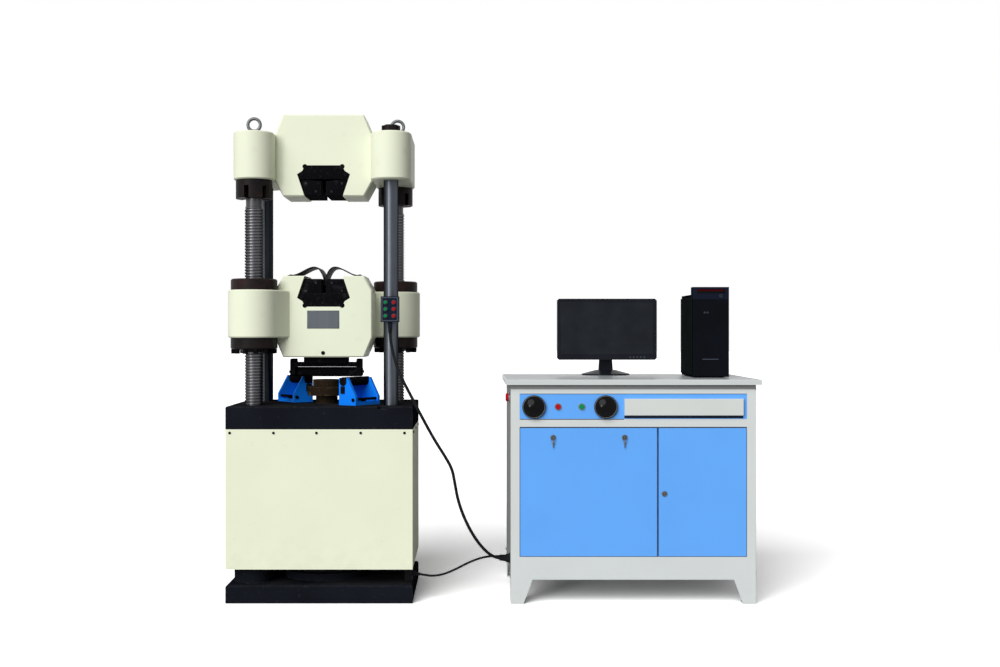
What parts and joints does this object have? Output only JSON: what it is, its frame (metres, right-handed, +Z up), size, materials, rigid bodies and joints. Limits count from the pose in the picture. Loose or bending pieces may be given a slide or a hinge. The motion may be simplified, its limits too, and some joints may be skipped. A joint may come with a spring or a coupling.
{
  "type": "universal testing machine",
  "caption": "Hydraulic universal testing machine: load frame with wedge-grip crossheads, columns and lead screws on a skirted base, with a control cabinet, screen and computer.",
  "frame": {"origin": "on the floor under the base slab, on the loading axis", "axes": "+X from the load frame towards the cabinet, +Y from front to back, +Z up"},
  "size_m": [2.1259, 0.633, 1.958],
  "materials": {
    "ivory_paint": "gloss",
    "charcoal_paint": "satin",
    "column_steel": "polished",
    "screw_steel": "satin",
    "blackened_steel": "oiled",
    "brown_iron": "oiled",
    "worn_bronze": "worn",
    "plated_steel": "plated",
    "support_blue": "gloss",
    "guard_rubber": "matte",
    "black_plastic": "satin",
    "green_button": "gloss",
    "red_button": "gloss",
    "cabinet_white": "satin",
    "cabinet_blue": "satin",
    "drawer_grey": "satin",
    "desk_laminate": "satin",
    "tank_grey": "satin",
    "motor_green": "satin",
    "cable_black": "satin"
  },
  "bodies": {
    "base": {"base_slab": "charcoal_paint", "cylinder": "charcoal_paint", "cabinet_shell": "cabinet_white", "cabinet_top": "desk_laminate", "control_panel": "cabinet_blue", "oil_tank": "tank_grey", "pump_motor": "motor_green", "monitor_stand": "black_plastic", "pc_case": "black_plastic", "pendant_cable": "cable_black", "base_cable": "cable_black", "cable_glands": "black_plastic"},
    "moving_frame": {"piston": "column_steel", "table": "charcoal_paint", "skirt_front": "ivory_paint", "skirt_rear": "ivory_paint", "skirt_sides": "ivory_paint", "column_left": "column_steel", "column_right": "column_steel", "upper_crosshead": "ivory_paint", "guide_nuts": "brown_iron", "column_nuts": "blackened_steel", "eye_bolts": "plated_steel", "platen_base": "worn_bronze", "platen": "worn_bronze", "bend_support_left": "support_blue", "bend_support_right": "support_blue", "pendant_box": "black_plastic"},
    "crosshead": {"lower_crosshead": "ivory_paint", "jaw_guards": "guard_rubber", "screw_seals": "brown_iron", "nut_covers": "brown_iron", "bend_head": "blackened_steel"},
    "lead_screw_left": {"lead_screw_left": "screw_steel"},
    "lead_screw_right": {"lead_screw_right": "screw_steel"},
    "upper_jaw_left": {"upper_jaw_left": "blackened_steel"},
    "upper_jaw_right": {"upper_jaw_right": "blackened_steel"},
    "lower_jaw_left": {"lower_jaw_left": "blackened_steel"},
    "lower_jaw_right": {"lower_jaw_right": "blackened_steel"},
    "bend_head_roller": {"bend_head_roller": "blackened_steel"},
    "bend_roller_left": {"bend_roller_left": "blackened_steel"},
    "bend_roller_right": {"bend_roller_right": "blackened_steel"},
    "pendant_button_green_1": {"pendant_button_green_1": "green_button"},
    "pendant_button_green_2": {"pendant_button_green_2": "green_button"},
    "pendant_button_green_3": {"pendant_button_green_3": "green_button"},
    "pendant_button_red_1": {"pendant_button_red_1": "red_button"},
    "pendant_button_red_2": {"pendant_button_red_2": "red_button"},
    "pendant_button_red_3": {"pendant_button_red_3": "red_button"},
    "delivery_knob": {"delivery_knob": "black_plastic"},
    "return_knob": {"return_knob": "black_plastic"},
    "start_button": {"start_button": "green_button"},
    "stop_button": {"stop_button": "red_button"},
    "power_switch": {"power_switch": "red_button"},
    "drawer": {"drawer": "drawer_grey"},
    "left_door": {"left_door": "cabinet_blue"},
    "right_door": {"right_door": "cabinet_blue"},
    "left_lock_1": {"left_lock_1": "plated_steel"},
    "left_lock_2": {"left_lock_2": "plated_steel"},
    "right_lock": {"right_lock": "plated_steel"},
    "monitor_head": {"monitor_head": "black_plastic"}
  },
  "joints": [
    {"name": "table_lift", "type": "slide", "parent": "base", "child": "moving_frame", "axis": [0, 0, 1], "range_m": [0, 0.15]},
    {"name": "screw_left_spin", "type": "hinge", "parent": "base", "child": "lead_screw_left", "pos_m": [-0.277, -0.14, 0.6], "axis": [0, 0, -1], "range_deg": [-300, 7500]},
    {"name": "screw_right_spin", "type": "hinge", "parent": "base", "child": "lead_screw_right", "pos_m": [0.277, 0.14, 0.6], "axis": [0, 0, -1], "range_deg": [-301, 7501]},
    {"name": "crosshead_travel", "type": "slide", "parent": "moving_frame", "child": "crosshead", "axis": [0, 0, 1], "range_m": [-0.0101, 0.2501]},
    {"name": "upper_jaw_left_slide", "type": "slide", "parent": "moving_frame", "child": "upper_jaw_left", "axis": [-0.3162, 0, 0.9487], "range_m": [-0.02, 0.012]},
    {"name": "upper_jaw_right_slide", "type": "slide", "parent": "moving_frame", "child": "upper_jaw_right", "axis": [0.3162, 0, 0.9487], "range_m": [-0.02, 0.012]},
    {"name": "lower_jaw_left_slide", "type": "slide", "parent": "crosshead", "child": "lower_jaw_left", "axis": [-0.3162, 0, -0.9487], "range_m": [-0.02, 0.004]},
    {"name": "lower_jaw_right_slide", "type": "slide", "parent": "crosshead", "child": "lower_jaw_right", "axis": [0.3162, 0, -0.9487], "range_m": [-0.02, 0.004]},
    {"name": "bend_head_roller_spin", "type": "hinge", "parent": "crosshead", "child": "bend_head_roller", "pos_m": [0, 0, 0.908], "axis": [1, 0, 0], "continuous": true},
    {"name": "bend_roller_left_spin", "type": "hinge", "parent": "moving_frame", "child": "bend_roller_left", "pos_m": [-0.12898, 0.11762, 0.873], "axis": [0.5736, -0.8192, 0], "continuous": true},
    {"name": "bend_roller_right_spin", "type": "hinge", "parent": "moving_frame", "child": "bend_roller_right", "pos_m": [0.12898, -0.09938, 0.873], "axis": [0.5736, 0.8192, 0], "continuous": true},
    {"name": "pendant_button_green_1_press", "type": "slide", "parent": "moving_frame", "child": "pendant_button_green_1", "axis": [0, 1, 0], "range_m": [0, 0.003], "stiffness_N_per_m": 300},
    {"name": "pendant_button_green_2_press", "type": "slide", "parent": "moving_frame", "child": "pendant_button_green_2", "axis": [0, 1, 0], "range_m": [0, 0.003], "stiffness_N_per_m": 300},
    {"name": "pendant_button_green_3_press", "type": "slide", "parent": "moving_frame", "child": "pendant_button_green_3", "axis": [0, 1, 0], "range_m": [0, 0.003], "stiffness_N_per_m": 300},
    {"name": "pendant_button_red_1_press", "type": "slide", "parent": "moving_frame", "child": "pendant_button_red_1", "axis": [0, 1, 0], "range_m": [0, 0.003], "stiffness_N_per_m": 300},
    {"name": "pendant_button_red_2_press", "type": "slide", "parent": "moving_frame", "child": "pendant_button_red_2", "axis": [0, 1, 0], "range_m": [0, 0.003], "stiffness_N_per_m": 300},
    {"name": "pendant_button_red_3_press", "type": "slide", "parent": "moving_frame", "child": "pendant_button_red_3", "axis": [0, 1, 0], "range_m": [0, 0.003], "stiffness_N_per_m": 300},
    {"name": "delivery_knob_turn", "type": "hinge", "parent": "base", "child": "delivery_knob", "pos_m": [0.84899, -0.28, 0.778], "axis": [0, -1, 0], "range_deg": [0, 320]},
    {"name": "return_knob_turn", "type": "hinge", "parent": "base", "child": "return_knob", "pos_m": [1.13204, -0.28, 0.778], "axis": [0, -1, 0], "range_deg": [0, 320]},
    {"name": "start_button_press", "type": "slide", "parent": "base", "child": "start_button", "axis": [0, 1, 0], "range_m": [0, 0.004], "stiffness_N_per_m": 400},
    {"name": "stop_button_press", "type": "slide", "parent": "base", "child": "stop_button", "axis": [0, 1, 0], "range_m": [0, 0.004], "stiffness_N_per_m": 400},
    {"name": "power_switch_press", "type": "slide", "parent": "base", "child": "power_switch", "axis": [1, 0, 0], "range_m": [0, 0.005], "stiffness_N_per_m": 600},
    {"name": "drawer_slide", "type": "slide", "parent": "base", "child": "drawer", "axis": [0, -1, 0], "range_m": [0, 0.3]},
    {"name": "left_door_hinge", "type": "hinge", "parent": "base", "child": "left_door", "pos_m": [1.0656, -0.265, 0.1868], "axis": [1, 0, 0], "range_deg": [0, 90]},
    {"name": "right_door_hinge", "type": "hinge", "parent": "base", "child": "right_door", "pos_m": [1.6892, -0.265, 0.44], "axis": [0, 0, 1], "range_deg": [0, 110]},
    {"name": "left_lock_1_turn", "type": "hinge", "parent": "left_door", "child": "left_lock_1", "pos_m": [0.925, -0.265, 0.657], "axis": [0, 1, 0], "range_deg": [0, 90]},
    {"name": "left_lock_2_turn", "type": "hinge", "parent": "left_door", "child": "left_lock_2", "pos_m": [1.20698, -0.265, 0.657], "axis": [0, 1, 0], "range_deg": [0, 90]},
    {"name": "right_lock_turn", "type": "hinge", "parent": "right_door", "child": "right_lock", "pos_m": [1.3642, -0.265, 0.435], "axis": [0, 1, 0], "range_deg": [0, 90]},
    {"name": "monitor_tilt", "type": "hinge", "parent": "base", "child": "monitor_head", "pos_m": [1.18503, 0.228, 1.05], "axis": [1, 0, 0], "range_deg": [-15, 5]}
  ],
  "couplings": [
    {"joint": "screw_right_spin", "follows": "screw_left_spin", "ratio": 1},
    {"joint": "crosshead_travel", "follows": "screw_left_spin", "m_per_rad": 0.0019099},
    {"joint": "upper_jaw_right_slide", "follows": "upper_jaw_left_slide", "ratio": 1},
    {"joint": "lower_jaw_right_slide", "follows": "lower_jaw_left_slide", "ratio": 1}
  ]
}
